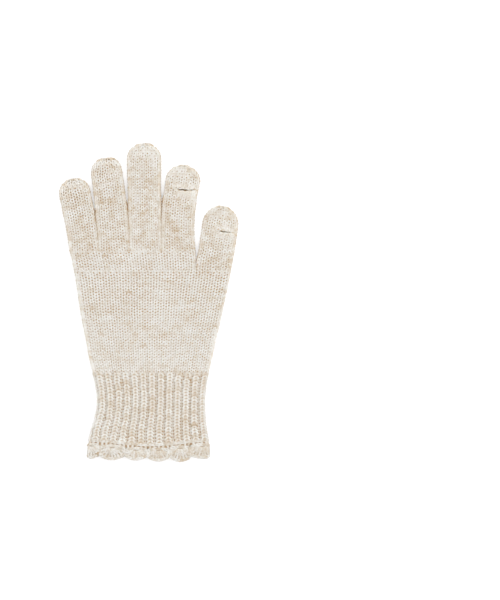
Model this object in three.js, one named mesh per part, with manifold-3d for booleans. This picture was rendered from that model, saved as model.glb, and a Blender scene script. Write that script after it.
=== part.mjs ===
// A knitted glove with a ribbed cuff and a scalloped crochet edging, lying palm up on a table.
// Millimetres. X runs across the hand to the thumb's side, Y from the edging to the fingertips, Z is up.
// Every piece is a hollow knitted wall, open where the real one is open.
import * as THREE from 'three';
import { mergeVertices } from 'three/addons/utils/BufferGeometryUtils.js';
import Module from 'manifold-3d';

const wasm = await Module();
wasm.setup();

// Driving dimensions
const WALL = 2.0; // thickness of the knitting
const GAP = 0.3; // clearance between neighbouring pieces
const HAND_HEIGHT = 9.0; // outer height of the glove as it lies, a little puffed
const FINGER_HEIGHT = 8.8;
const EDGING_HEIGHT = 8.8;
const FINGER_ROOT = 36.9; // Y of the line where the fingers start
const THUMB_ROOT = 22.8; // Y of the shoulder where the thumb starts
const CUFF_TOP = -51.8;
const CUFF_END = -102.2;
const RIB_COUNT = 26; // ribs round the cuff
const RIB_DEPTH = 0.9; // how far the purl valleys lie under the knit ridges
const EYELET_RADIUS = 0.8;
const EYELET_SIDES = 6;
const EYELET_Y = -107.4;
const EYELET_REACH = 39.0; // the eyelets lie between the folds, this far to each side

// How a section's outline is rounded: higher is squarer, so a wide section has nearly round folds
const ROUNDNESS = { finger: 3.0, hand: 5.0, tip: 2.25 };
const FOLD_LEVEL = 0.42; // height of the side folds as a share of the section's height
const UNDERSIDE = 0.52; // reach of the lower half, cut flat where it rests
const FINGER_POINTS = 22;
const PALM_POINTS = 44;
const POINTS_A_RIB = 4;
const POINTS_A_SHELL = 8;
const MERGE_DISTANCE = 1e-4;

// Fingers: x and y of the root's middle and of the middle of the tip's round cap, the cap's length, the
// widths at the root, half way and at the cap, and how far the middle bows to +X
const FINGERS = [
  { name: 'little_finger', rootX: -47.6, rootY: FINGER_ROOT, capX: -54.3, capY: 79.6, cap: 11.8,
    width: [21.2, 22.7, 23.5], bow: 0.7 },
  { name: 'ring_finger', rootX: -25.3, rootY: FINGER_ROOT, capX: -31.0, capY: 95.1, cap: 11.7,
    width: [22.6, 23.7, 23.2], bow: 0.7 },
  { name: 'middle_finger', rootX: -2.3, rootY: FINGER_ROOT, capX: -3.4, capY: 106.1, cap: 11.1,
    width: [22.6, 24.4, 25.4], bow: -0.3 },
  { name: 'index_finger', rootX: 22.0, rootY: FINGER_ROOT, capX: 25.1, capY: 89.2, cap: 12.0,
    width: [25.0, 24.5, 25.7], bow: -1.9 },
  { name: 'thumb', rootX: 47.7, rootY: THUMB_ROOT, capX: 52.7, capY: 57.5, cap: 13.0,
    width: [25.2, 26.6, 26.6], bow: -0.1 },
];
const FINGER_STATIONS = [0, 0.1, 0.24, 0.42, 0.62, 0.82, 1];
const CAP_ANGLES = [28, 50, 68, 82];

// The hand's outline: a row for each section from the cuff to the finger roots
const PALM_ROWS = [
  { y: CUFF_TOP + GAP, left: -41.4, right: 44.2 },
  { y: -39.8, left: -44.2, right: 47.0 },
  { y: -28.0, left: -46.3, right: 49.3 },
  { y: -13.3, left: -49.2, right: 53.0 },
  { y: 1.5, left: -51.6, right: 56.0 },
  { y: 16.2, left: -53.8, right: 59.2 },
  { y: THUMB_ROOT - 0.7, left: -54.9, right: 60.4, shoulder: true },
  { y: THUMB_ROOT - GAP, left: -55.0, right: 34.6, shoulder: true },
  { y: 31.0, left: -56.6, right: 34.5 },
  { y: FINGER_ROOT - GAP, left: -58.2, right: 34.5 },
];
const CUFF_ROWS = [
  { y: CUFF_END, left: -44.4, right: 44.3 },
  { y: -95.8, left: -42.8, right: 42.8 },
  { y: -84.0, left: -39.2, right: 41.4 },
  { y: -72.2, left: -37.8, right: 41.2 },
  { y: -60.4, left: -39.2, right: 42.2 },
  { y: CUFF_TOP, left: -41.2, right: 44.0 },
];
const EDGING_ROWS = [
  { y: -108.0, left: -45.1, right: 44.9 },
  { y: CUFF_END - GAP, left: -44.6, right: 44.4 },
];
// Crochet shells: where each ends, as a share of the way round from the left fold over the upper side,
// and how far down its round edge reaches
const SHELLS = [
  { end: 0.056, lowest: -114.2 },
  { end: 0.155, lowest: -115.9 },
  { end: 0.239, lowest: -116.2 },
  { end: 0.325, lowest: -117.0 },
  { end: 0.405, lowest: -117.2 },
  { end: 0.493, lowest: -114.8 },
  { end: 0.573, lowest: -115.4 },
  { end: 0.652, lowest: -116.0 },
  { end: 0.730, lowest: -116.0 },
  { end: 0.808, lowest: -115.8 },
  { end: 0.887, lowest: -115.2 },
  { end: 0.965, lowest: -114.2 },
];
const SHELL_NOTCH = 3.2; // depth of the notch between two shells
const SHELL_ROUNDNESS = 0.7; // 1 is a sine, less is squarer
const SHELL_PUFF = 0.5; // how far a shell's middle stands proud of the notches
// Slits for bare fingertips, on the upper side: middle, length, width and turn
const SLITS = [
  { finger: 'index_finger', x: 27.4, y: 82.6, length: 15.0, width: 1.0, turn: -6 },
  { finger: 'thumb', x: 55.4, y: 51.2, length: 15.5, width: 0.8, turn: -12 },
];

const YARN_COLOUR = 0xded6ca;
const yarn = (name) =>
  new THREE.MeshStandardMaterial({ name, color: YARN_COLOUR, roughness: 0.95, metalness: 0 });
const materials = { knit: yarn('knit'), rib: yarn('rib'), crochet: yarn('crochet') };

const power = (value, exponent) => Math.sign(value) * Math.abs(value) ** exponent;

// Outline of a section, as [across, up] points at the given shares of the way round. It starts at the left
// fold, runs over the top to the right fold and back along the flat underside.
function outline(halfWidth, height, roundness, shares) {
  const fine = 720; // steps round the outline, to measure its length
  const points = [];
  const lengths = [0];
  for (let i = 0; i <= fine; i += 1) {
    const angle = Math.PI - (2 * Math.PI * i) / fine;
    const across = halfWidth * power(Math.cos(angle), 2 / roundness);
    const rise = power(Math.sin(angle), 2 / roundness);
    const up = rise > 0 ? (1 - FOLD_LEVEL) * rise : UNDERSIDE * rise;
    points.push([across, height * Math.max(0, FOLD_LEVEL + up)]);
    if (i > 0) {
      const [before, now] = points.slice(-2);
      lengths.push(lengths[i - 1] + Math.hypot(now[0] - before[0], now[1] - before[1]));
    }
  }
  return shares.map((share) => {
    const target = share * lengths[fine];
    const next = Math.max(1, lengths.findIndex((length) => length >= target));
    const part = (target - lengths[next - 1]) / (lengths[next] - lengths[next - 1]);
    const [from, to] = [points[next - 1], points[next]];
    return from.map((value, axis) => THREE.MathUtils.lerp(value, to[axis], part));
  });
}

const evenShares = (count) => Array.from({ length: count }, (_, i) => i / count);

// A closed skin through a chain of rings with equal point counts; a ring of one point closes an end.
// From ring to ring along +Y the skin faces outwards, and back along -Y it faces into the hollow.
function skin(chain) {
  const corners = [];
  for (let i = 1; i < chain.length; i += 1) {
    const [a, b] = [chain[i - 1], chain[i]];
    const count = Math.max(a.length, b.length);
    for (let j = 0; j < count; j += 1) {
      const k = (j + 1) % count;
      if (a.length > 1) corners.push(a[j], a[k], b[b.length > 1 ? k : 0]);
      if (b.length > 1) corners.push(a[a.length > 1 ? j : 0], b[k], b[j]);
    }
  }
  return new THREE.BufferGeometry().setFromPoints(corners);
}

const middleOf = (ring) => {
  const sum = ring.reduce((total, point) => total.add(point), new THREE.Vector3());
  return [sum.divideScalar(ring.length)];
};

const closed = (rings) => skin([middleOf(rings[0]), ...rings, middleOf(rings[rings.length - 1])]);
const openTube = (outer, inner) => skin([...inner.toReversed(), ...outer, inner[inner.length - 1]]);

// Section of the hand at one row; inset is the depth under the outer surface
function handRing(row, height, shares, inset = 0) {
  const halfWidth = (row.right - row.left) / 2 - inset;
  const middle = (row.right + row.left) / 2;
  return outline(halfWidth, height - 2 * inset, ROUNDNESS.hand, shares).map(
    ([across, up]) => new THREE.Vector3(middle + across, row.y, up + inset),
  );
}

// The parabola through three values at 0, 1/2 and 1
const through = ([start, half, end], t) =>
  start * (1 - t) * (1 - 2 * t) + 4 * half * t * (1 - t) + end * t * (2 * t - 1);

// Sections of a finger from root to tip; the first lies along X, the others across the finger
function fingerRings(finger, inset = 0) {
  const root = new THREE.Vector2(finger.rootX, finger.rootY);
  const cap = new THREE.Vector2(finger.capX, finger.capY);
  const along = cap.clone().sub(root).normalize();
  const side = new THREE.Vector2(along.y, -along.x);
  const shares = evenShares(FINGER_POINTS);
  const ringAt = (t, beyond, swell) => {
    const centre = root.clone().lerp(cap, t).addScaledVector(along, beyond);
    centre.x += 4 * finger.bow * t * (1 - t);
    const turned = THREE.MathUtils.smoothstep(t, 0, 0.5);
    const across = new THREE.Vector2(1, 0).lerp(side, turned).normalize();
    const halfWidth = (through(finger.width, t) / 2 - inset) * swell;
    const height = (FINGER_HEIGHT - 2 * inset) * Math.sqrt(swell);
    const lift = inset + FOLD_LEVEL * (FINGER_HEIGHT - 2 * inset - height);
    return outline(halfWidth, height, ROUNDNESS.finger, shares).map(
      ([x, z]) => new THREE.Vector3(centre.x + across.x * x, centre.y + across.y * x, z + lift),
    );
  };
  const capLength = finger.cap - inset;
  const straight = FINGER_STATIONS.map((t) => ringAt(t, 0, 1));
  const rounded = CAP_ANGLES.map(THREE.MathUtils.degToRad).map((angle) => {
    const beyond = capLength * Math.sin(angle) ** (2 / ROUNDNESS.tip);
    return ringAt(1, beyond, Math.cos(angle) ** (2 / ROUNDNESS.tip));
  });
  const end = cap.clone().addScaledVector(along, capLength);
  const tip = [new THREE.Vector3(end.x, end.y, inset + FOLD_LEVEL * (FINGER_HEIGHT - 2 * inset))];
  return [...straight, ...rounded, tip];
}

// Booleans on closed geometries
function solidOf(geometry) {
  geometry.deleteAttribute('normal');
  geometry.deleteAttribute('uv');
  const merged = mergeVertices(geometry, MERGE_DISTANCE);
  return new wasm.Manifold(
    new wasm.Mesh({
      numProp: 3,
      vertProperties: merged.attributes.position.array,
      triVerts: new Uint32Array(merged.index.array),
    }),
  );
}

function geometryOf(solid) {
  const mesh = solid.getMesh();
  const geometry = new THREE.BufferGeometry();
  geometry.setAttribute('position', new THREE.BufferAttribute(mesh.vertProperties, 3));
  geometry.setIndex(new THREE.BufferAttribute(mesh.triVerts, 1));
  return geometry;
}

const cut = (geometry, tools) =>
  geometryOf(tools.map(solidOf).reduce((solid, tool) => solid.subtract(tool), solidOf(geometry)));

// A pointed lens standing on end, to cut a slit through the upper wall
function slitTool({ x, y, length, width, turn }) {
  const half = length / 2;
  const shape = new THREE.Shape();
  shape.moveTo(-half, 0);
  shape.quadraticCurveTo(0, -width, half, 0);
  shape.quadraticCurveTo(0, width, -half, 0);
  const settings = { depth: HAND_HEIGHT, bevelEnabled: false, curveSegments: 4 };
  const lens = new THREE.ExtrudeGeometry(shape, settings);
  return lens.rotateZ(THREE.MathUtils.degToRad(turn)).translate(x, y, HAND_HEIGHT / 2);
}

function makeFinger(finger) {
  const inner = fingerRings(finger, WALL);
  const outer = fingerRings(finger);
  const tube = skin([...inner.toReversed(), ...outer]);
  const slits = SLITS.filter((slit) => slit.finger === finger.name).map(slitTool);
  return slits.length > 0 ? cut(tube, slits) : tube;
}

// The hand's tube: its thumb side ends in a shoulder, which the thumb's hollow passes through
function makePalm() {
  const shares = evenShares(PALM_POINTS);
  const outer = closed(PALM_ROWS.map((row) => handRing(row, HAND_HEIGHT, shares)));
  const hollowRows = PALM_ROWS.map((row) => ({ ...row, y: row.shoulder ? row.y - WALL : row.y }));
  hollowRows[0].y -= WALL;
  hollowRows.at(-1).y += WALL;
  const hollow = closed(hollowRows.map((row) => handRing(row, HAND_HEIGHT, shares, WALL)));
  const thumbHollow = fingerRings(FINGERS.find((finger) => finger.name === 'thumb'), WALL)[0];
  const upTheThumb = (rise) => thumbHollow.map((point) => point.clone().setY(point.y + rise));
  const passage = closed([-2 * WALL, WALL].map(upTheThumb));
  return cut(outer, [hollow, passage]);
}

// One and one rib: knit ridges with purl valleys between them, on a smooth inside
function makeCuff() {
  const shares = evenShares(RIB_COUNT * POINTS_A_RIB);
  const outer = CUFF_ROWS.map((row) => {
    const ridge = handRing(row, HAND_HEIGHT, shares);
    const valley = handRing(row, HAND_HEIGHT, shares, RIB_DEPTH);
    return ridge.map((point, i) => (i % POINTS_A_RIB < POINTS_A_RIB / 2 ? point : valley[i]));
  });
  const inner = CUFF_ROWS.map((row) => handRing(row, HAND_HEIGHT, shares, WALL));
  return openTube(outer, inner);
}

// Where the points round the edge lie: their share of the way round, their place on a shell from its
// notch, 0, to its middle, 1, and the Y of the shell's round edge there
function shellPoints() {
  return SHELLS.flatMap((shell, i) => {
    const before = SHELLS.at(i - 1);
    const start = i === 0 ? before.end - 1 : before.end;
    const notch = (before.lowest + shell.lowest) / 2 + SHELL_NOTCH;
    return evenShares(POINTS_A_SHELL).map((t) => {
      const arch = Math.sin(Math.PI * t) ** SHELL_ROUNDNESS;
      const share = THREE.MathUtils.lerp(start, shell.end, t);
      return { share: (share + 1) % 1, arch, y: THREE.MathUtils.lerp(notch, shell.lowest, arch) };
    });
  });
}

// A short drill through one layer of the edging, at a point between two shells
function eyeletDrill(point) {
  const upper = point.z > EDGING_HEIGHT / 2;
  const drill = new THREE.CylinderGeometry(EYELET_RADIUS, EYELET_RADIUS, 2 * WALL, EYELET_SIDES);
  return drill.rotateX(Math.PI / 2).translate(point.x, EYELET_Y, upper ? point.z - WALL / 2 : WALL / 2);
}

// Crochet shells: the tube's edge hangs in round scallops, each puffed between its notches
function makeEdging() {
  const points = shellPoints();
  const shares = points.map((point) => point.share);
  const rings = (inset) => {
    const wall = EDGING_ROWS.map((row) => {
      const proud = handRing(row, EDGING_HEIGHT, shares, inset);
      const sunk = handRing(row, EDGING_HEIGHT, shares, inset === 0 ? SHELL_PUFF : inset);
      return sunk.map((point, i) => point.lerp(proud[i], points[i].arch));
    });
    return [wall[0].map((point, i) => point.clone().setY(points[i].y)), ...wall];
  };
  const tube = openTube(rings(0), rings(WALL));
  const betweenShells = handRing(EDGING_ROWS[1], EDGING_HEIGHT, SHELLS.map((shell) => shell.end));
  const flat = betweenShells.filter((point) => Math.abs(point.x) < EYELET_REACH);
  return cut(tube, flat.map(eyeletDrill));
}

const glove = new THREE.Group();
glove.name = 'glove';
const add = (name, geometry, material) => {
  const mesh = new THREE.Mesh(geometry, material);
  mesh.name = name;
  glove.add(mesh);
};

add('palm', makePalm(), materials.knit);
FINGERS.forEach((finger) => add(finger.name, makeFinger(finger), materials.knit));
add('ribbed_cuff', makeCuff(), materials.rib);
add('scalloped_edging', makeEdging(), materials.crochet);

export default glove;
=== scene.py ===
"""A knitted glove with a ribbed cuff and a scalloped crochet edging, lying palm up, each stitch real yarn.

The glove is worked out in millimetres: X across the hand, Y from the edging to the fingertips, Z up.
"""

import math

import bpy
import numpy as np
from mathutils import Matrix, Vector


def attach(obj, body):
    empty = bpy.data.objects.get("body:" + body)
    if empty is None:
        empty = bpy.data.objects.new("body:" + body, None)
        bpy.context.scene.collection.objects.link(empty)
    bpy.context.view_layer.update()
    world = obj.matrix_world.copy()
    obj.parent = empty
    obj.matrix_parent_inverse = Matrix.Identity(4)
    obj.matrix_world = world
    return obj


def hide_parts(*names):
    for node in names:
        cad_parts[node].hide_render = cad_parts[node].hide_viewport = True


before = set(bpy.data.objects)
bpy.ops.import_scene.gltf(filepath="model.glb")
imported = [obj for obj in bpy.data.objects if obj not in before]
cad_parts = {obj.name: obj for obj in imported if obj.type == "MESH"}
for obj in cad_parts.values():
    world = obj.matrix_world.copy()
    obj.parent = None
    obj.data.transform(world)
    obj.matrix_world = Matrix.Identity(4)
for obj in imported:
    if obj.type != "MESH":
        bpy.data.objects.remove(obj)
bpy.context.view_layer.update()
MM = 0.001

# The hand's form
HAND_HEIGHT = 9.0
FINGER_HEIGHT = 8.8
FINGER_ROOT = 36.9
THUMB_ROOT = 22.8
CUFF_TOP = -51.8
CUFF_END = -102.2
FOLD_LEVEL = 0.6  # level of the side folds, as a share of the height
UNDERSIDE = 0.7  # how far the underside would reach down from there, were it not pressed flat
HAND_ROUNDNESS = 8.0  # 2 is an ellipse, more is squarer
FINGER_ROUNDNESS = 3.6
ROOT_ROUNDNESS = 14.0
ROOT_SHARE = 0.3  # of a finger's straight length, where its sides are squarer
TURN_SHARE = 0.5  # of a finger's straight length, where its sections turn to its own way
FINGER_END = 1.97  # a finger's last ring: its cap starts at 1 and ends at 2
LEAN_FADE = 5.0  # how far under the parting a side leans in full
ROOT_LEAN = 0.5  # the share of the lean that is left at the root

# Fingers: middle of the root, middle of the round cap, the cap's length, the widths at the root, half way
# and at the cap, how far the middle bows to +X, how far the sides lean on what lies beside them, the Y where
# the left and the right side part from it (0 where nothing does), how square the left and the right side of
# the cap are (2 is round), and the wales round
FINGERS = {
    "little_finger": dict(
        root=(-47.6, FINGER_ROOT), cap=(-54.3, 79.6), cap_length=11.8, widths=(21.2, 22.7, 23.5),
        bow=0.7, lean=0.68, parting=(0, 70.0), tip=(2.0, 2.1), wales=16,
    ),
    "ring_finger": dict(
        root=(-25.3, FINGER_ROOT), cap=(-31.0, 95.1), cap_length=11.7, widths=(22.6, 23.7, 23.2),
        bow=0.7, lean=0.68, parting=(70.0, 75.0), tip=(1.9, 2.35), wales=17,
    ),
    "middle_finger": dict(
        root=(-2.3, FINGER_ROOT), cap=(-3.4, 106.1), cap_length=11.1, widths=(22.6, 24.4, 25.4),
        bow=-0.3, lean=0.68, parting=(75.0, 79.0), tip=(1.9, 1.9), wales=19,
    ),
    "index_finger": dict(
        root=(22.0, FINGER_ROOT), cap=(25.1, 89.2), cap_length=12.0, widths=(25.0, 24.5, 25.7),
        bow=-1.9, lean=0.68, parting=(79.0, 0), tip=(1.9, 1.9), wales=18,
    ),
    "thumb": dict(
        root=(47.7, THUMB_ROOT), cap=(52.7, 57.5), cap_length=13.6, widths=(25.2, 26.6, 26.6),
        bow=-0.1, lean=1.5, parting=(36.0, 0), tip=(1.9, 1.9), wales=18,
    ),
}
# The tube's outline: Y, left edge, right edge
HAND_ROWS = [
    (CUFF_TOP, -41.3, 44.1), (-39.8, -44.2, 47.0), (-28.0, -46.3, 49.3), (-13.3, -49.2, 53.0),
    (1.5, -51.6, 56.0), (16.2, -53.8, 59.2), (THUMB_ROOT, -55.0, 60.4),
]
KNUCKLE_ROWS = [(THUMB_ROOT, -55.0, 35.0), (31.0, -56.6, 34.7), (FINGER_ROOT, -58.2, 34.5)]
CUFF_ROWS = [
    (CUFF_END, -44.4, 44.3), (-95.8, -42.8, 42.8), (-84.0, -39.2, 41.4), (-72.2, -37.8, 41.2),
    (-60.4, -39.2, 42.2), (CUFF_TOP, -41.2, 44.0),
]

# The touch-screen slits: middle, length, gap, how much wider the left end stands open than the right, and
# how far the left end bends towards the fingertip
SLITS = {
    "index_finger": dict(middle=(27.2, 82.4), length=16.5, gap=2.0, skew=1.1, bend=1.8),
    "thumb": dict(middle=(55.2, 51.4), length=16.5, gap=1.2, skew=-0.2, bend=0.6),
}
SLIT_PUSH = 1.1  # how far the courses beside a slit give way
SLIT_FADE = 2.5
SLIT_RISE = 1.5  # how far above a finger's middle level they give way in full
SLIT_LIP = 0.2  # how far its edges stand up
SLIT_WAVER = 0.3
SLIT_WAVES = 12
SLIT_HOLE = 0.8  # how wide the fluff, whose dark colour is painted shade, stands open there
SLIT_END = 1.0  # and how far short of each end of the slit it stays closed

# The knitting: half a loop's height, how far it stands out over the course and how far its legs spread
COURSE = 2.1
PLAIN_LOOP = dict(height=1.5, relief=0.65, spread=0.27)
RIB_LOOP = dict(height=1.45, relief=0.75, spread=0.3)
FABRIC_DEPTH = 1.15  # from the outer surface to the middle of the knitting
STITCH_SAMPLES = 12
YARN_SIDES = 5
YARN_OFFSET = 37.0  # how much further each yarn is along the flecks than the one before
YARN_RADIUS = 0.545
YARN_TONE = 0.52
FINGER_YARN_RADIUS = 0.565
# painted shade: the hand's yarn drawn darker on the fingers, which are lit more brightly and show fewer dark
# gaps
FINGER_TONE = 0.47
HAND_WALES = 58
KNUCKLE_WALES = 50
FEWEST_WALES = 4
TIP_MARGIN = 0.3  # no course starts closer to a fingertip
TIP_LIMIT = 0.4  # and no loop reaches closer
SPREAD_WOBBLE = 0.02
ACROSS_WOBBLE = 0.04
HEIGHT_WOBBLE = 0.12
RELIEF_WOBBLE = 0.08
RADIUS_WOBBLE = 0.06
TONE_WOBBLE = 0.06
FOLD_SHADE = 0.15  # painted shade: how much darker the yarn is drawn at the side folds, which turn away from the light
CREASE_SHADE = 0.85  # painted shade: how much darker a finger is drawn where it touches the next one
CREASE_START = 2.0
CREASE_FADE = 11.0

# The ribs
CUFF_WALES = 56
CUFF_COURSE = 2.17
RIB_RADIUS = 0.75
PURL_RADIUS = 0.38
RIB_TAPER = 0.25  # how much thinner a leg of a rib stitch is at its ends
# painted shade at the ends of a rib stitch's legs, where they go under the loops beside them
RIB_END_SHADE = 0.12
# painted shade on the purl stitches, down in the valleys between the ribs
PURL_SHADE = 0.06
RIB_RELIEF = 0.42
RIB_SPREAD = 0.3  # how far a purl stitch gives way to the knit ones beside it, in stitches
RIB_CHANGE = 3.0  # how sharply knit changes to purl
SAG = 1.75  # how far the lower end of the cuff rises at the folds and sinks between them
SAG_FADE = 15.0

# The fluff behind the stitches: a sheet, partly real fluff, whose dark colour is painted shade, the shade
# seen through the gaps between the loops
FLUFF_SHADE_OUTER = -0.5
FLUFF_SHADE_INNER = -1.0
FLUFF_SHADE_STEP = 1.8
FLUFF_SHADE_MARGIN = 0.5
# painted shade: the rib's fluff is drawn darkest in the purl valleys and palest under the knit wales
RIB_FLUFF_SHADE_TONE = 0.02
RIB_FLUFF_SHADE_CONTRAST = 0.27
RIB_COLUMNS = 4  # for each wale
FINGER_COLUMNS = 48
HAND_COLUMNS = 96

# The crochet edging: Y, left edge, right edge
EDGING_HEIGHT = 8.8
EDGING_ROWS = [(-118.5, -45.1, 44.9), (-108.0, -45.1, 44.9), (-100.4, -44.1, 43.9)]
# Where each shell ends, as a share of the turn from the left fold over the top, and its lowest Y
SHELLS = [
    (0.056, -115.0), (0.155, -115.9), (0.239, -116.2), (0.325, -117.0), (0.405, -117.2), (0.493, -114.8),
    (0.577, -115.4), (0.661, -116.0), (0.745, -116.0), (0.829, -115.8), (0.913, -115.2), (0.997, -114.2),
]
SHELL_NOTCH = 2.8  # how far the notch between two shells is above their lowest places
SHELL_ROUNDNESS = 0.7
SHELL_STEPS = 25
CROCHET_RADIUS = 0.47
# painted shade: the crochet's yarn is drawn darker than the knit's, as it lies flat in more light and shows
# fewer dark gaps
CROCHET_TONE = 0.45

# The row that joins the edging to the cuff, and the short posts that hang from it
FOUNDATION_Y = -103.1
FOUNDATION_PITCH = 2.4
FOUNDATION_WIDTH = 1.9
FOUNDATION_LIFT = 0.2
BRIDGES = 60
BRIDGE_LENGTH = 2.2
BRIDGE_SLANT = 0.4

# A shell's border, and the fan of posts in it
PETAL_TOP = -106.0
PETAL_ARCH = 1.4  # how much lower the border's top is at its ends
PETAL_INSET = 0.5
PETAL_SPAN = (0.02, 0.98)  # of a shell's width
PETAL_STEPS = 40
PETAL_POINTS = 90
PETAL_SMOOTHING = 4
PETAL_LIFT = 0.3
RIM_INSET = 1.0
RIM_PITCH = 2.1
RIM_WIDTH = 2.0
POSTS_A_SHELL = 9
FAN_ANGLE = 72
FAN_Y = -107.2
FAN_START = (0.2, 0.8)  # how far along its own way a post starts, across and down
FAN_SPREAD = 2.2  # how far to each side the outermost posts start
FAN_FOOT = 0.45  # how far a post's foot stays inside the border, in border widths
BEHIND = 99.0  # a distance that keeps a post's foot off the border behind the fan

# The fluff behind the edging, its dark colour painted shade, with its eyelets and a line of painted shade
# under the foundation
EDGING_LEVELS = 12
EDGING_GAP = 0.1
EYELET_Y = -106.2
EYELET_RADIUS = 0.7
# painted shade: the dark colour of the fluff seen between the posts and in the notches
CROCHET_FLUFF_SHADE_TONE = 0.28
# painted shade: a darker line drawn on the fluff under the foundation, where the rows part
LINE_SHADE = 0.24
LINE_Y = -104.7
LINE_WIDTH = 0.9

# Posts and chains
POST_SAMPLES = 20
POST_TURNS = 1.5
POST_WIDTH = 1.2
POST_FLATNESS = 0.7  # how high the twisted strands are, as a share of their width
POST_LIFT = 0.1
POST_START = 2.0  # the most that a post's twist starts turned by, in radians
POST_TONE_WOBBLE = 0.05
CHAIN_SAMPLES = 10
CHAIN_REACH = 0.85  # half a loop's length, as a share of the step from link to link
CHAIN_LIFT = 0.4  # how far a loop's end rises over the next one's start
CHAIN_FULLNESS = 0.7
CHAIN_TAPER = 0.4  # how much wider a loop's start is than its end
CHAIN_STEP = 0.3  # how far before and after a link the path is looked at for its direction
CHAIN_SIZE_WOBBLE = 0.05
CHAIN_TONE_WOBBLE = 0.08
BINDING_PITCH = 1.9
BINDING_WIDTH = 1.3
BINDING_RADIUS = 0.4
BINDING_TONE = 0.42
BINDING_STEPS = 41

# How finely the tubes are worked out
OUTLINE_STEPS = 360
STATIONS = 140
TOP_TURN = 0.25  # the middle of the upper side, as a share of the turn from the left fold

# The yarn's colours, from its darkest flecks to its palest; the darkest also give the painted shade of the
# fluff, the folds and the creases
YARN_COLOURS = [
    (0.0, (0.34, 0.21, 0.09)),
    (0.3, (0.54, 0.45, 0.34)),
    (0.5, (0.665, 0.642, 0.6)),
    (0.75, (0.74, 0.74, 0.72)),
]
# How much each kind of change takes the yarn from one colour to the next: flecks, single fibres, whole
# strands as a share of the flecks, and clouds over the glove
FLECKS = 0.6
FIBRE_FLECKS = 0.4
STRAND_SHARE = 0.3
CLOUD_FLECKS = 0.06
RIB_FLECKS = 0.32
# painted shade: the crochet material is the knit's wool drawn darker
CROCHET_BRIGHTNESS = 0.93
# How closely they follow each other, along the yarn in each millimetre and about it in each turn
FLECK_ALONG = 0.7
FLECK_ABOUT = 1.5
FIBRE_ALONG = 1.5
FIBRE_ABOUT = 9.0
STRAND_STRETCH = 0.08
STRAND_SHIFT = 3.0
CLOUD_SCALE = (18.0, 60.0, 18.0)
# The plies: twists in each millimetre, and the relief of plies and fibres
PLY_TURNS = 1.9
PLY_RELIEF = 0.35
FIBRE_RELIEF = 0.9
BUMP_HEIGHT = 0.2

# The camera, in millimetres
PICTURE_HEIGHT = 442.2
PICTURE_MIDDLE = (74.4, 1.5)
CAMERA_DISTANCE = 2000.0
SENSOR_HEIGHT = 36.0

# The floor and the light, in metres and watts
FLOOR_SIZE = 6.0
FLOOR_COLOUR = (0.6, 0.6, 0.6, 1)
FLOOR_GLOW = 0.38
SKY_STRENGTH = 0.35
SOFTBOX_PLACE = (0.15, 0.08, 1.5)
SOFTBOX_SIZE = 1.9
SOFTBOX_POWER = 45.0


def smooth_through(x, knots, values):
    """A smooth curve through the values at the knots."""
    knots, values = np.asarray(knots, float), np.asarray(values, float)
    slopes = np.gradient(values, knots)
    i = np.clip(np.searchsorted(knots, x) - 1, 0, len(knots) - 2)
    width = knots[i + 1] - knots[i]
    t = (x - knots[i]) / width
    rise = (1 + 2 * t) * (1 - t) ** 2 * values[i] + t * t * (3 - 2 * t) * values[i + 1]
    return rise + width * (t * (1 - t) ** 2 * slopes[i] - t * t * (1 - t) * slopes[i + 1])


def outline(half_width, height, roundness):
    """One turn round a section as (across, up) at even steps, from the left fold over the top."""
    angle = np.pi - np.linspace(0, 2 * np.pi, 2 * OUTLINE_STEPS + 1)
    cosine, sine = np.cos(angle), np.sin(angle)
    across = half_width * np.sign(cosine) * np.abs(cosine) ** (2 / roundness)
    rise = np.sign(sine) * np.abs(sine) ** (2 / roundness)
    up = np.where(rise > 0, (1 - FOLD_LEVEL) * rise, UNDERSIDE * rise)
    up = height * np.maximum(0, FOLD_LEVEL + up)
    walked = np.concatenate([[0], np.cumsum(np.hypot(np.diff(across), np.diff(up)))])
    even = np.linspace(0, walked[-1], OUTLINE_STEPS + 1)
    return np.interp(even, walked, across), np.interp(even, walked, up)


def hand_rings(rows, height=HAND_HEIGHT):
    """Rings of the outer surface of a stretch of the hand, from its lowest Y up."""
    knots, lefts, rights = zip(*rows)
    rings = []
    for y in np.linspace(knots[0], knots[-1], STATIONS):
        left, right = smooth_through(y, knots, lefts), smooth_through(y, knots, rights)
        across, up = outline((right - left) / 2, height, HAND_ROUNDNESS)
        x = (left + right) / 2 + across
        rings.append(np.stack([x, np.full_like(up, y), up], axis=1))
    return np.array(rings)


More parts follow.
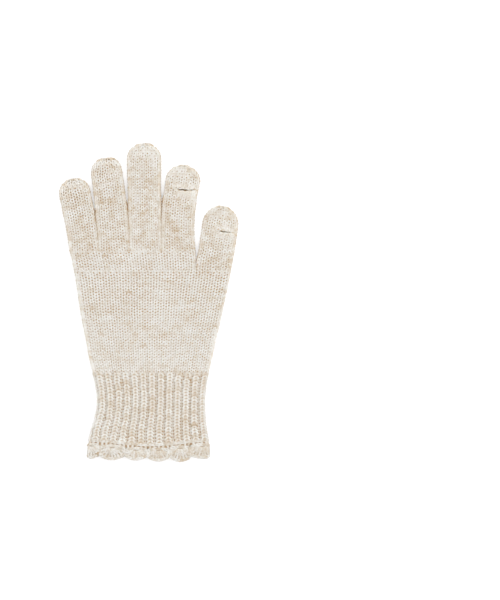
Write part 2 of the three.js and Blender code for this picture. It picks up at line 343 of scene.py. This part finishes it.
def finger_rings(finger):
    """Rings of the outer surface of a finger, from its root to its tip."""
    root, cap = np.array(finger["root"]), np.array(finger["cap"])
    along = (cap - root) / np.linalg.norm(cap - root)
    side = np.array([along[1], -along[0]])
    first, half, last = finger["widths"]
    rings = []
    for place in np.linspace(0, FINGER_END, STATIONS):
        t = min(place, 1.0)
        angle = math.radians(90) * max(place - 1, 0)
        rise = math.sin(angle)
        beyond = finger["cap_length"] * rise
        swells = [(1 - rise**squareness) ** (1 / squareness) for squareness in finger["tip"]]
        swell = sum(swells) / 2
        width = first * (1 - t) * (1 - 2 * t) + 4 * half * t * (1 - t) + last * t * (2 * t - 1)
        centre = root + (cap - root) * t + along * beyond + (4 * finger["bow"] * t * (1 - t), 0)
        turned = min(t / TURN_SHARE, 1)
        turned = turned * turned * (3 - 2 * turned)
        across_way = (1 - turned) * np.array([1.0, 0.0]) + turned * side
        across_way /= np.linalg.norm(across_way)
        height = FINGER_HEIGHT * math.sqrt(swell)
        at_root = max(1 - t / ROOT_SHARE, 0)
        roundness = FINGER_ROUNDNESS + (ROOT_ROUNDNESS - FINGER_ROUNDNESS) * at_root * at_root
        across, up = outline(width / 2 * swell, height, roundness)
        across *= np.where(across < 0, *swells) / swell
        parting = np.where(across < 0, *finger["parting"])
        close = np.clip((parting - centre[1]) / LEAN_FADE, 0, 1)
        share = (centre[1] - root[1]) / (parting - root[1])
        close *= ROOT_LEAN + (1 - ROOT_LEAN) * share * share
        across *= 1 + close * finger["lean"] / (width / 2)
        flat = centre + across[:, None] * across_way
        rings.append(np.column_stack([flat, up + FOLD_LEVEL * (FINGER_HEIGHT - height)]))
    return np.array(rings)


class Tube:
    """The middle surface of a knitted tube, by its turn round, 0 to 1, and the millimetres along it."""

    def __init__(self, rings):
        round_step = np.roll(rings[:, :-1], -1, axis=1) - np.roll(rings[:, :-1], 1, axis=1)
        along_step = np.gradient(rings[:, :-1], axis=0)
        normals = np.cross(round_step, along_step)
        normals /= np.linalg.norm(normals, axis=2, keepdims=True)
        middle = rings[:, :-1] - FABRIC_DEPTH * normals
        top = middle[:, int(OUTLINE_STEPS * TOP_TURN)]
        walked = np.concatenate([[0], np.cumsum(np.linalg.norm(np.diff(top, axis=0), axis=1))])
        self.length = walked[-1]
        even = np.interp(np.linspace(0, self.length, STATIONS), walked, np.arange(STATIONS))
        low = np.minimum(even.astype(int), STATIONS - 2)
        part = (even - low)[:, None, None]
        self.points = middle[low] * (1 - part) + middle[low + 1] * part
        self.normals = normals[low] * (1 - part) + normals[low + 1] * part
        edges = np.roll(self.points, -1, axis=1) - self.points
        self.girths = np.linalg.norm(edges, axis=2).sum(axis=1)

    def girth(self, along):
        return np.interp(along, np.linspace(0, self.length, STATIONS), self.girths)

    def at(self, turn, along, out):
        """Points and outward normals, moved out from the middle surface."""
        column = (turn % 1.0) * OUTLINE_STEPS
        left = column.astype(int) % OUTLINE_STEPS
        right = (left + 1) % OUTLINE_STEPS
        row = along / self.length * (STATIONS - 1)
        low = np.clip(row.astype(int), 0, STATIONS - 2)
        sideways = (column - np.floor(column))[:, None]
        upwards = (row - low)[:, None]

        def blend(grid):
            below = grid[low, left] * (1 - sideways) + grid[low, right] * sideways
            above = grid[low + 1, left] * (1 - sideways) + grid[low + 1, right] * sideways
            return below * (1 - upwards) + above * upwards

        normal = blend(self.normals)
        normal /= np.linalg.norm(normal, axis=1, keepdims=True)
        return blend(self.points) + out[:, None] * normal, normal


class YarnMesh:
    """Collects swept yarns and makes one object of them."""

    def __init__(self):
        self.points, self.faces, self.uvs, self.tones = [], [], [], []
        self.count = 0

    def collect(self, points, faces, uvs, tones):
        self.points.append(points)
        self.faces.append(faces + self.count)
        self.uvs.append(uvs)
        self.tones.append(tones)
        self.count += len(points)

    def add(self, path, ups, radius, tone):
        """A closed yarn along the path, with round sections that keep to the up directions."""
        ahead = np.roll(path, -1, axis=0) - np.roll(path, 1, axis=0)
        ahead /= np.linalg.norm(ahead, axis=1, keepdims=True)
        side = np.cross(ahead, ups)
        side /= np.linalg.norm(side, axis=1, keepdims=True)
        up = np.cross(side, ahead)
        angle = np.arange(YARN_SIDES) * 2 * np.pi / YARN_SIDES
        ring = side[:, None] * np.cos(angle)[None, :, None] + up[:, None] * np.sin(angle)[None, :, None]
        points = path[:, None] + ring * np.broadcast_to(radius, len(path))[:, None, None]
        steps = np.linalg.norm(np.roll(path, -1, axis=0) - path, axis=1)
        walked = np.concatenate([[0], np.cumsum(steps)])
        numbers = np.arange(len(path) * YARN_SIDES).reshape(len(path), YARN_SIDES)
        ahead_numbers = np.roll(numbers, -1, axis=0)
        corners = [numbers, np.roll(numbers, -1, axis=1), np.roll(ahead_numbers, -1, axis=1), ahead_numbers]
        faces = np.stack(corners, axis=-1).reshape(-1, 4)
        k, s = np.meshgrid(np.arange(len(path)), np.arange(YARN_SIDES), indexing="ij")
        along = [walked[k], walked[k], walked[k + 1], walked[k + 1]]
        about = [s / YARN_SIDES, (s + 1) / YARN_SIDES, (s + 1) / YARN_SIDES, s / YARN_SIDES]
        uv = np.stack([np.stack(along, axis=-1), np.stack(about, axis=-1)], axis=-1)
        uv[..., 0] += len(self.points) * YARN_OFFSET
        tones = np.repeat(np.broadcast_to(tone, len(path)), YARN_SIDES)
        self.collect(points.reshape(-1, 3), faces, uv.reshape(-1, 2), tones)

    def fluff_shade_sheet(self, outer, inner, tone, keep):
        """Thin fluff between the stitches, its dark colour painted shade: a grid round a tube, closed at its
        ends and round its holes.
        """
        rows, columns = keep.shape
        i, j = np.nonzero(keep)
        grid = np.arange((rows + 1) * columns).reshape(rows + 1, columns)
        after = (j + 1) % columns
        corners = grid[i, j], grid[i, after], grid[i + 1, after], grid[i + 1, j]
        sunk = [corner + grid.size for corner in corners]
        faces = [np.stack(corners, axis=-1), np.stack(sunk[::-1], axis=-1)]
        wide = np.pad(keep, ((1, 1), (0, 0)))
        beside = wide[i, j], wide[i + 1, after], wide[i + 2, j], wide[i + 1, j - 1]
        for side, full in enumerate(beside):
            a, b = side, (side + 1) % 4
            wall = np.stack([corners[a], sunk[a], sunk[b], corners[b]], axis=-1)
            faces.append(wall[~full])
        faces = np.concatenate(faces)
        used, faces = np.unique(faces, return_inverse=True)
        points = np.concatenate([outer.reshape(-1, 3), inner.reshape(-1, 3)])[used]
        faces = faces.reshape(-1, 4)
        flat = points[faces][:, :, [0, 1]].reshape(-1, 2)
        tones = np.tile(np.broadcast_to(tone, outer.shape[:2]).ravel(), 2)
        self.collect(points, faces, flat, tones[used])

    def finish(self, name, node, slot, material):
        points = np.concatenate(self.points) * MM
        faces = np.concatenate(self.faces)
        mesh = bpy.data.meshes.new(name)
        mesh.vertices.add(len(points))
        mesh.vertices.foreach_set("co", points.ravel())
        mesh.loops.add(faces.size)
        mesh.loops.foreach_set("vertex_index", faces.ravel())
        mesh.polygons.add(len(faces))
        mesh.polygons.foreach_set("loop_start", np.arange(0, faces.size, 4))
        mesh.polygons.foreach_set("loop_total", np.full(len(faces), 4))
        mesh.polygons.foreach_set("use_smooth", np.ones(len(faces), bool))
        layer = mesh.uv_layers.new(name="yarn")
        layer.data.foreach_set("uv", np.concatenate(self.uvs).ravel())
        tone = mesh.attributes.new("tone", "FLOAT", "POINT")
        tone.data.foreach_set("value", np.concatenate(self.tones))
        mesh.update()
        mesh.validate()
        mesh.materials.append(material)
        piece = bpy.data.objects.new(name, mesh)
        bpy.context.collection.objects.link(piece)
        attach(piece, "root")
        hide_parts(node)
        return piece


def stitches(count):
    """Places along a ring of stitches, and the angle through each one's loop, 0 at its head."""
    place = np.arange(count * STITCH_SAMPLES) / STITCH_SAMPLES
    return place, 2 * np.pi * (place - np.floor(place + 0.5))


def wobble(random, count, amount):
    """A value for each sample that drifts smoothly from stitch to stitch round the ring."""
    values = random.normal(0, amount, count)
    place = np.arange(count * STITCH_SAMPLES) / STITCH_SAMPLES
    low = place.astype(int)
    part = place - low
    part = part * part * (3 - 2 * part)
    return values[low] * (1 - part) + values[(low + 1) % count] * part


def part_at_slit(points, slit, beyond):
    """Moves a course away from the slit in the top of its finger; beyond is its distance past the slit."""
    offset = points[:, :2] - slit["middle"]
    lens = np.sqrt(np.clip(1 - (offset @ slit["side"] / (slit["length"] / 2)) ** 2, 0, 1))
    lens = lens * np.clip((points[:, 2] - FINGER_HEIGHT / 2) / SLIT_RISE, 0, 1)
    near = math.exp(-abs(beyond) / SLIT_FADE)
    push = math.copysign(SLIT_PUSH + slit["gap"] / 2, beyond) * near * lens
    points[:, :2] += push[:, None] * slit["ahead"]
    points[:, 2] += SLIT_LIP * near * near * lens


def crease_shade(finger, points, normals):
    """Painted shade: how much darker the sides of a finger are drawn where they lie against what is beside
    them.
    """
    below = np.where(normals[:, 0] < 0, *finger["parting"]) - points[:, 1]
    contact = np.clip(below / CREASE_START, 0, 1) * np.exp(-np.maximum(below, 0) / CREASE_FADE)
    return CREASE_SHADE * contact * (1 - np.abs(normals[:, 2])) ** 2


def sag(turn):
    """How much higher the end of the cuff lies at a turn: above 0 at the folds, below it between them."""
    return SAG * np.cos(4 * np.pi * turn)


def knit_ring(yarns, tube, count, along, random, limit=math.inf, ribbed=False, finger=None, slit=None):
    """One course of stitches round a tube, its loops' heads towards the cuff."""
    loop = RIB_LOOP if ribbed else PLAIN_LOOP
    place, angle = stitches(count)
    spread = loop["spread"] + wobble(random, count, SPREAD_WOBBLE)
    across = place + spread * np.sin(2 * angle) + wobble(random, count, ACROSS_WOBBLE)
    height = along - loop["height"] * np.cos(angle) + wobble(random, count, HEIGHT_WOBBLE)
    out = -loop["relief"] * np.cos(2 * angle) + wobble(random, count, RELIEF_WOBBLE)
    if ribbed:
        knit = np.cos(np.pi * place)
        leg_end = np.cos(angle) ** 2
        out = out * np.clip(knit * RIB_CHANGE, -1, 1) + RIB_RELIEF * knit
        across += RIB_SPREAD * np.sin(np.pi * across)
        height += sag(across / count) * math.exp(-along / SAG_FADE)
    path, normal = tube.at(across / count, np.minimum(height, limit), out)
    if slit:
        part_at_slit(path, slit, along - slit["along"])
    yarn_radius, yarn_tone = (FINGER_YARN_RADIUS, FINGER_TONE) if finger else (YARN_RADIUS, YARN_TONE)
    radius = yarn_radius * (1 + wobble(random, count, RADIUS_WOBBLE))
    tone = yarn_tone + wobble(random, count, TONE_WOBBLE)
    if ribbed:
        thickness = PURL_RADIUS + (RIB_RADIUS - PURL_RADIUS) * (1 + knit) / 2
        radius *= thickness / YARN_RADIUS * (1 - RIB_TAPER * leg_end)
        # painted shade at the legs' ends and in the purl valleys
        tone -= RIB_END_SHADE * leg_end + PURL_SHADE * (1 - knit) / 2
    else:
        # painted shade at the side folds, darker the more they face sideways
        tone -= FOLD_SHADE * (1 - np.abs(normal[:, 2]))
    if finger:
        # painted shade in the crease where a finger lies against the next one
        tone -= crease_shade(finger, path, normal)
    yarns.add(path, normal, radius, tone)


def fluff_shade_tube(yarns, tube, start, end, columns, slit=None, ribs=0):
    """Fluff behind the stitches of a tube, its dark colour painted shade, between two places along it, open
    at a slit, or following ribs.
    """
    middle, hole = (slit["along"], SLIT_HOLE) if slit else (start, FLUFF_SHADE_STEP)
    beyond = hole / 2 + np.arange(0, end, FLUFF_SHADE_STEP)
    inside = np.concatenate([middle - beyond[::-1], middle + beyond])
    inside = inside[(inside > start + FLUFF_SHADE_MARGIN) & (inside < end - FLUFF_SHADE_MARGIN)]
    levels = np.concatenate([[start], inside, [end]])
    place = np.arange(columns) * ribs / columns
    turn = np.arange(columns) / columns
    lift = np.zeros(columns)
    # the darkest yarn colour: painted shade, standing in for the shade deep in the gaps between the loops
    tone = 0.0
    if ribs:
        turn += RIB_SPREAD * np.sin(np.pi * place) / ribs
        lift = RIB_RELIEF * np.cos(np.pi * place)
        # painted shade: darker fluff down in the valleys between the ribs
        tone = RIB_FLUFF_SHADE_TONE + RIB_FLUFF_SHADE_CONTRAST * np.cos(np.pi * place)
    turns, lifts = np.tile(turn, len(levels)), np.tile(lift, len(levels))
    alongs = np.repeat(levels, columns)
    if ribs:
        alongs += sag(turns) * np.exp(-alongs / SAG_FADE)
    outer, _ = tube.at(turns, alongs, FLUFF_SHADE_OUTER + lifts)
    inner, _ = tube.at(turns, alongs, FLUFF_SHADE_INNER + lifts)
    keep = np.ones((len(levels) - 1, columns), bool)
    if slit:
        at_slit = np.abs((levels[:-1] + levels[1:]) / 2 - slit["along"]) < FLUFF_SHADE_STEP / 4
        reach = (slit["length"] / 2 - SLIT_END) / tube.girth(slit["along"])
        centres = (np.arange(columns) + 0.5) / columns
        keep[np.outer(at_slit, np.abs(centres - slit["turn"]) < reach)] = False
    shape = (len(levels), columns, 3)
    yarns.fluff_shade_sheet(outer.reshape(shape), inner.reshape(shape), tone, keep)


def loop_chain(yarns, path, normals, pitch, width, radius, random, tone):
    """A row of chain stitches along a path: each loop's end lies over the start of the next one."""
    steps = np.linalg.norm(np.diff(path, axis=0), axis=1)
    walked = np.concatenate([[0], np.cumsum(steps)])
    count = max(2, round(walked[-1] / pitch))
    spacing = walked[-1] / count
    turn = np.arange(CHAIN_SAMPLES) * 2 * np.pi / CHAIN_SAMPLES
    for link in range(count):
        middle = (link + 0.5) * spacing
        before, centre, after = (
            np.array([np.interp(x, walked, path[:, k]) for k in range(3)])
            for x in (middle - CHAIN_STEP, middle, middle + CHAIN_STEP)
        )
        ahead = (after - before) / np.linalg.norm(after - before)
        up = np.array([np.interp(middle, walked, normals[:, k]) for k in range(3)])
        side = np.cross(up, ahead)
        size = 1 + random.normal(0, CHAIN_SIZE_WOBBLE)
        u = CHAIN_REACH * spacing * np.cos(turn) * size
        v = width / 2 * np.sin(turn) * (CHAIN_FULLNESS - CHAIN_TAPER * np.cos(turn)) * size
        w = CHAIN_LIFT * np.cos(turn)
        loop = centre + u[:, None] * ahead + v[:, None] * side + w[:, None] * up
        ups = np.broadcast_to(up, loop.shape)
        yarns.add(loop, ups, radius, tone + random.normal(0, CHAIN_TONE_WOBBLE))


def knit_finger(name, finger, material, random):
    tube = Tube(finger_rings(finger))
    yarns = YarnMesh()
    axis = np.array(finger["cap"]) - finger["root"]
    straight = np.hypot(*axis)
    slit = SLITS.get(name)
    if slit:
        ahead = axis / straight
        side = np.array([ahead[1], -ahead[0]])
        along = (np.array(slit["middle"]) - finger["root"]) @ ahead
        centre, _ = tube.at(np.array([TOP_TURN]), np.array([along]), np.array([0.0]))
        aside = (np.array(slit["middle"]) - centre[0, :2]) @ side
        turn = TOP_TURN + aside / tube.girth(along)
        slit = dict(slit, ahead=ahead, side=side, along=along, turn=turn)
        bind_slit(yarns, tube, slit, random)
    pitch = tube.girth(straight) / finger["wales"]
    along = (slit["along"] % COURSE + COURSE / 2) % COURSE if slit else COURSE / 2
    while along < tube.length - TIP_MARGIN:
        count = finger["wales"]
        if along > straight:
            count = max(FEWEST_WALES, 2 * round(tube.girth(along) / pitch / 2))
        knit_ring(yarns, tube, count, along, random, tube.length - TIP_LIMIT, finger=finger, slit=slit)
        along += COURSE
    fluff_shade_tube(yarns, tube, 0.0, tube.length, FINGER_COLUMNS, slit)
    return yarns.finish(f"{name}_knit", name, "knit", material)


def bind_slit(yarns, tube, slit, random):
    """The bound edge round a slit: one chain on each side of the gap."""
    for way in (-1, 1):
        u = np.linspace(-1, 1, BINDING_STEPS) * slit["length"] / 2
        share = u / (slit["length"] / 2)
        lens = np.sqrt(np.clip(1 - share**2, 0, 1))
        v = way * (slit["gap"] / 2 * (1 - slit["skew"] * share) + BINDING_WIDTH / 2) * lens
        out = SLIT_LIP * lens
        v += slit["bend"] * np.minimum(share, 0) ** 2
        v += np.interp(share, np.linspace(-1, 1, SLIT_WAVES), random.normal(0, SLIT_WAVER, SLIT_WAVES))
        path, normals = tube.at(slit["turn"] + u / tube.girth(slit["along"]), slit["along"] + v, out)
        loop_chain(
            yarns, path, normals, BINDING_PITCH, BINDING_WIDTH, BINDING_RADIUS, random, BINDING_TONE
        )


def knit_tube(name, node, slot, rows, wales, course, material, random, ribbed=False, part=(0, 1)):
    tube = Tube(hand_rings(rows))
    yarns = YarnMesh()
    count = round(tube.length / course)
    for j in range(round(part[0] * count), round(part[1] * count)):
        knit_ring(yarns, tube, wales, (j + 0.5) * tube.length / count, random, ribbed=ribbed)
    start, end = part[0] * tube.length, part[1] * tube.length
    if ribbed:
        fluff_shade_tube(yarns, tube, start, end, RIB_COLUMNS * wales, ribs=wales)
    else:
        fluff_shade_tube(yarns, tube, start, end, HAND_COLUMNS)
    return yarns.finish(name, node, slot, material)


class Edging:
    """The edging's tube, with flat places on it: millimetres round it from the left fold, and the Y."""

    def __init__(self):
        self.tube = Tube(hand_rings(EDGING_ROWS, EDGING_HEIGHT))
        self.girth = self.tube.girth(self.tube.length / 2)
        self.yarns = YarnMesh()

    def at(self, flat, out):
        flat = np.asarray(flat)
        along = flat[:, 1] - EDGING_ROWS[0][0]
        return self.tube.at(flat[:, 0] / self.girth, along, np.broadcast_to(out, len(flat)))

    def chain(self, flat, out, pitch, width, random):
        path, normals = self.at(flat, out)
        loop_chain(self.yarns, path, normals, pitch, width, CROCHET_RADIUS, random, CROCHET_TONE)

    def post(self, start, end, random):
        """A crochet post: two strands twisted together from one place to another."""
        start, end = np.array(start), np.array(end)
        turn = (np.arange(POST_SAMPLES) + 0.5) * 2 * np.pi / POST_SAMPLES
        along = (1 - np.cos(turn)) / 2
        apart = POST_WIDTH / 2 * np.sign(np.sin(turn)) * np.sqrt(np.abs(np.sin(turn)))
        twist = POST_TURNS * 2 * np.pi * along + random.uniform(0, POST_START)
        ahead = (end - start) / np.linalg.norm(end - start)
        side = np.array([ahead[1], -ahead[0]])
        flat = start + along[:, None] * (end - start) + (apart * np.cos(twist))[:, None] * side
        path, normals = self.at(flat, apart * np.sin(twist) * POST_FLATNESS + POST_LIFT)
        self.yarns.add(path, normals, CROCHET_RADIUS, CROCHET_TONE + random.normal(0, POST_TONE_WOBBLE))


def foundation(edging, random):
    """The chain that joins the edging to the cuff, with short posts under it."""
    turns = np.linspace(0, 1, OUTLINE_STEPS + 1)
    line = np.stack([turns * edging.girth, FOUNDATION_Y + sag(turns)], axis=1)
    edging.chain(line, FOUNDATION_LIFT, FOUNDATION_PITCH, FOUNDATION_WIDTH, random)
    for turn in np.arange(BRIDGES) / BRIDGES:
        top = np.array([turn * edging.girth, FOUNDATION_Y + sag(turn) - FOUNDATION_WIDTH / 3])
        edging.post(top, top + (random.normal(0, BRIDGE_SLANT), -BRIDGE_LENGTH), random)


def shell_arch(share):
    """How far a shell's round edge has come down, from 0 at its ends to 1 at its lowest place."""
    return np.sin(np.pi * share) ** SHELL_ROUNDNESS


def petal_path(left, right, notch, low, top):
    """The border of a shell: a loop along its lower arch and back along its flatter top."""
    share = np.linspace(*PETAL_SPAN, PETAL_STEPS)
    arch = shell_arch(share)
    inner = left + PETAL_INSET + (right - left - 2 * PETAL_INSET) * share
    lower = np.stack([inner, notch + (low - notch) * arch + RIM_INSET], axis=1)
    upper = np.stack([inner, top + PETAL_ARCH * (arch - 1)], axis=1)[::-1]
    path = np.concatenate([lower, upper, lower[:1]])
    walked = np.concatenate([[0], np.cumsum(np.linalg.norm(np.diff(path, axis=0), axis=1))])
    even = np.linspace(0, walked[-1], PETAL_POINTS)[:-1]
    path = np.stack([np.interp(even, walked, path[:, k]) for k in (0, 1)], axis=1)
    for _ in range(PETAL_SMOOTHING):
        path = (np.roll(path, 1, axis=0) + path + np.roll(path, -1, axis=0)) / 3
    return np.concatenate([path, path[:1]])


def shell(edging, start, end, notch, low, random):
    """One shell: its border, and the fan of posts that spreads in it."""
    lowered = sag((start + end) / 2)
    fan = np.array([(start + end) / 2 * edging.girth, FAN_Y + lowered])
    petal = petal_path(start * edging.girth, end * edging.girth, notch, low, PETAL_TOP + lowered)
    edging.chain(petal, PETAL_LIFT, RIM_PITCH, RIM_WIDTH, random)
    for angle in np.radians(np.linspace(-FAN_ANGLE, FAN_ANGLE, POSTS_A_SHELL)):
        ray = np.array([math.sin(angle), -math.cos(angle)])
        offset = petal - fan
        beside = np.abs(offset @ (ray[1], -ray[0])) + BEHIND * (offset @ ray < 0)
        foot = petal[np.argmin(beside)] - ray * RIM_WIDTH * FAN_FOOT
        edging.post(fan + ray * FAN_START + (FAN_SPREAD * ray[0], 0), foot, random)


def edging_fluff_shade(edging, rim):
    """Fluff from the shells' round edge up to the cuff, its dark colour painted shade, with an eyelet where
    two shells meet and a line of painted shade under the foundation.
    """
    levels = np.linspace(0, 1, EDGING_LEVELS)[:, None]
    columns = np.broadcast_to(rim[:, 0], (len(levels), len(rim)))
    top = CUFF_END - EDGING_GAP + sag(rim[:, 0] / edging.girth)
    heights = top * levels + (rim[:, 1] + RIM_INSET) * (1 - levels)
    flat = np.stack([columns, heights], axis=-1)
    outer, _ = edging.at(flat.reshape(-1, 2), FLUFF_SHADE_OUTER)
    inner, _ = edging.at(flat.reshape(-1, 2), FLUFF_SHADE_INNER)
    beside = np.roll(flat, -1, axis=1)
    middles = (flat[:-1] + flat[1:] + beside[:-1] + beside[1:]) / 4
    keep = np.ones(middles.shape[:2], bool)
    for end, _ in SHELLS:
        away = (middles[..., 0] - end * edging.girth + edging.girth / 2) % edging.girth - edging.girth / 2
        keep &= np.hypot(away, middles[..., 1] - EYELET_Y - sag(end)) > EYELET_RADIUS
    from_line = (flat[..., 1] - LINE_Y - sag(columns / edging.girth)) / LINE_WIDTH
    # the fluff's painted shade, darker still along the line under the foundation
    tone = CROCHET_FLUFF_SHADE_TONE - LINE_SHADE * np.exp(-from_line**2)
    shape = (*flat.shape[:2], 3)
    edging.yarns.fluff_shade_sheet(outer.reshape(shape), inner.reshape(shape), tone, keep)


def crochet_edging(material, random):
    """A row of chain with short posts under it, then shells: bordered fans of posts."""
    edging = Edging()
    foundation(edging, random)
    rims = []
    for k, (end, low) in enumerate(SHELLS):
        start = SHELLS[k - 1][0] - (k == 0)
        notch = (SHELLS[k - 1][1] + low) / 2 + SHELL_NOTCH
        shell(edging, start, end, notch, low, random)
        share = np.linspace(0, 1, SHELL_STEPS)[:-1:2]
        across = (start + (end - start) * share) * edging.girth
        rims.append(np.stack([across, notch + (low - notch) * shell_arch(share)], axis=1))
    edging_fluff_shade(edging, np.concatenate(rims))
    return edging.yarns.finish("edging_crochet", "scalloped_edging", "crochet", material)


class Nodes:
    """Makes a material's nodes; an expression on its sockets adds the Math nodes."""

    def __init__(self, name):
        self.material = bpy.data.materials.new(name)
        self.material.use_nodes = True
        self.tree = self.material.node_tree
        self.tree.nodes.clear()

    def make(self, kind, settings=None, **values):
        node = self.tree.nodes.new(kind)
        for key, value in (settings or {}).items():
            if key == "stops":
                ramp = node.color_ramp
                while len(ramp.elements) < len(value):
                    ramp.elements.new(1.0)
                for element, (place, colour) in zip(ramp.elements, value):
                    element.position = place
                    element.color = colour
            else:
                setattr(node, key, value)
        for key, value in values.items():
            socket = node.inputs[int(key[1:])] if key[1:].isdigit() else node.inputs[key.replace("_", " ")]
            if isinstance(value, Socket):
                self.tree.links.new(value.socket, socket)
            else:
                socket.default_value = value
        return node

    def out(self, node, name=0):
        return Socket(self, node.outputs[name])


class Socket:
    """A node's output that takes part in Python arithmetic."""

    def __init__(self, nodes, socket):
        self.nodes = nodes
        self.socket = socket

    def math(self, operation, a, b):
        return self.nodes.out(self.nodes.make("ShaderNodeMath", {"operation": operation}, _0=a, _1=b))

    def __add__(self, other):
        return self.math("ADD", self, other)

    def __radd__(self, other):
        return self.math("ADD", other, self)

    def __sub__(self, other):
        return self.math("SUBTRACT", self, other)

    def __rsub__(self, other):
        return self.math("SUBTRACT", other, self)

    def __mul__(self, other):
        return self.math("MULTIPLY", self, other)

    def __rmul__(self, other):
        return self.math("MULTIPLY", other, self)

    def sine(self):
        return self.nodes.out(self.nodes.make("ShaderNodeMath", {"operation": "SINE"}, _0=self))


def yarn_material(name, brightness=1.0, flecks=FLECKS):
    """Heathered oatmeal wool: two plies, with flecks of cream, tan and grey along the yarn."""
    n = Nodes(name)
    uv = n.out(n.make("ShaderNodeUVMap", {"uv_map": "yarn"}))
    split = n.make("ShaderNodeSeparateXYZ", Vector=uv)
    along, about = n.out(split, "X"), n.out(split, "Y")
    tone = n.out(n.make("ShaderNodeAttribute", {"attribute_name": "tone"}), "Fac")
    slow = n.out(n.make("ShaderNodeCombineXYZ", X=along * STRAND_STRETCH, Y=tone * STRAND_SHIFT, Z=0.0))
    strand = n.out(n.make("ShaderNodeTexNoise", Vector=slow, Scale=1.0, Detail=2.0, Roughness=0.6))
    stretched = n.out(n.make("ShaderNodeCombineXYZ", X=along * FLECK_ALONG, Y=about * FLECK_ABOUT, Z=0.0))
    fleck = n.out(n.make("ShaderNodeTexNoise", Vector=stretched, Scale=1.0, Detail=3.0, Roughness=0.6))
    winding = about * FIBRE_ABOUT + along * FIBRE_ALONG
    fine = n.out(n.make("ShaderNodeCombineXYZ", X=along * FIBRE_ALONG, Y=winding, Z=0.0))
    fibre = n.out(n.make("ShaderNodeTexNoise", Vector=fine, Scale=1.0, Detail=2.0, Roughness=0.6))
    place = n.out(n.make("ShaderNodeTexCoord"), "Object")
    mapping = n.make("ShaderNodeMapping", Vector=place)
    mapping.inputs["Scale"].default_value = CLOUD_SCALE
    cloud = n.out(n.make("ShaderNodeTexNoise", Vector=n.out(mapping), Scale=1.0, Detail=2.0, Roughness=0.5))
    mix = tone + (fleck - 0.5) * flecks + (fibre - 0.5) * FIBRE_FLECKS
    mix = mix + (strand - 0.5) * flecks * STRAND_SHARE + (cloud - 0.5) * CLOUD_FLECKS
    stops = [(at, (*(part * brightness for part in colour), 1)) for at, colour in YARN_COLOURS]
    ramp = n.make("ShaderNodeValToRGB", {"stops": stops}, Fac=mix)
    ply = ((along * PLY_TURNS + about) * (2 * math.pi)).sine()
    height = ply * PLY_RELIEF + fibre * FIBRE_RELIEF
    bump = n.make("ShaderNodeBump", Height=height, Strength=0.5, Distance=BUMP_HEIGHT * MM)
    shader = n.make(
        "ShaderNodeBsdfPrincipled", Base_Color=n.out(ramp, "Color"), Roughness=0.9, Normal=n.out(bump)
    )
    shader.inputs["Sheen Weight"].default_value = 0.05
    shader.inputs["Sheen Roughness"].default_value = 0.6
    shader.inputs["Specular IOR Level"].default_value = 0.2
    n.make("ShaderNodeOutputMaterial", Surface=n.out(shader, "BSDF"))
    return n.material


def make_camera():
    """Straight above the picture's middle, square to the surface that the glove lies on."""
    data = bpy.data.cameras.new("camera")
    data.sensor_fit = "VERTICAL"
    data.sensor_height = SENSOR_HEIGHT
    data.lens = SENSOR_HEIGHT * CAMERA_DISTANCE / PICTURE_HEIGHT
    data.clip_end = 10.0
    camera = bpy.data.objects.new("camera", data)
    camera.location = Vector((*PICTURE_MIDDLE, CAMERA_DISTANCE)) * MM
    bpy.context.collection.objects.link(camera)
    bpy.context.scene.camera = camera


def make_stage():
    bpy.ops.object.select_all(action="DESELECT")
    bpy.ops.mesh.primitive_plane_add(size=FLOOR_SIZE, location=(0, 0, 0))
    floor = bpy.context.object
    floor.name = "floor"
    n = Nodes("floor_white")
    shader = n.make("ShaderNodeBsdfPrincipled", Base_Color=FLOOR_COLOUR, Roughness=0.8)
    shader.inputs["Emission Color"].default_value = (1, 1, 1, 1)
    shader.inputs["Emission Strength"].default_value = FLOOR_GLOW
    n.make("ShaderNodeOutputMaterial", Surface=n.out(shader, "BSDF"))
    floor.data.materials.append(n.material)


def make_light():
    world = bpy.data.worlds.new("studio")
    bpy.context.scene.world = world
    world.use_nodes = True
    background = world.node_tree.nodes["Background"]
    background.inputs["Color"].default_value = (1, 1, 1, 1)
    background.inputs["Strength"].default_value = SKY_STRENGTH
    data = bpy.data.lights.new("softbox", "AREA")
    data.size = SOFTBOX_SIZE
    data.energy = SOFTBOX_POWER
    softbox = bpy.data.objects.new("softbox", data)
    softbox.location = SOFTBOX_PLACE
    softbox.rotation_euler = (-softbox.location).to_track_quat("-Z", "Y").to_euler()
    bpy.context.collection.objects.link(softbox)
    bpy.context.scene.view_settings.view_transform = "Standard"


make_camera()
make_stage()
make_light()
knit = yarn_material("oatmeal_knit")
rib = yarn_material("oatmeal_rib", flecks=RIB_FLECKS)
crochet = yarn_material("oatmeal_crochet", brightness=CROCHET_BRIGHTNESS)
random = np.random.default_rng(7)
for name, finger in FINGERS.items():
    knit_finger(name, finger, knit, random)
knit_tube("palm_lower_knit", "palm", "knit", HAND_ROWS, HAND_WALES, COURSE, knit, random, part=(0, 0.5))
knit_tube("palm_upper_knit", "palm", "knit", HAND_ROWS, HAND_WALES, COURSE, knit, random, part=(0.5, 1))
knit_tube("knuckle_knit", "palm", "knit", KNUCKLE_ROWS, KNUCKLE_WALES, COURSE, knit, random)
knit_tube("cuff_rib", "ribbed_cuff", "rib", CUFF_ROWS, CUFF_WALES, CUFF_COURSE, rib, random, ribbed=True)
crochet_edging(crochet, random)
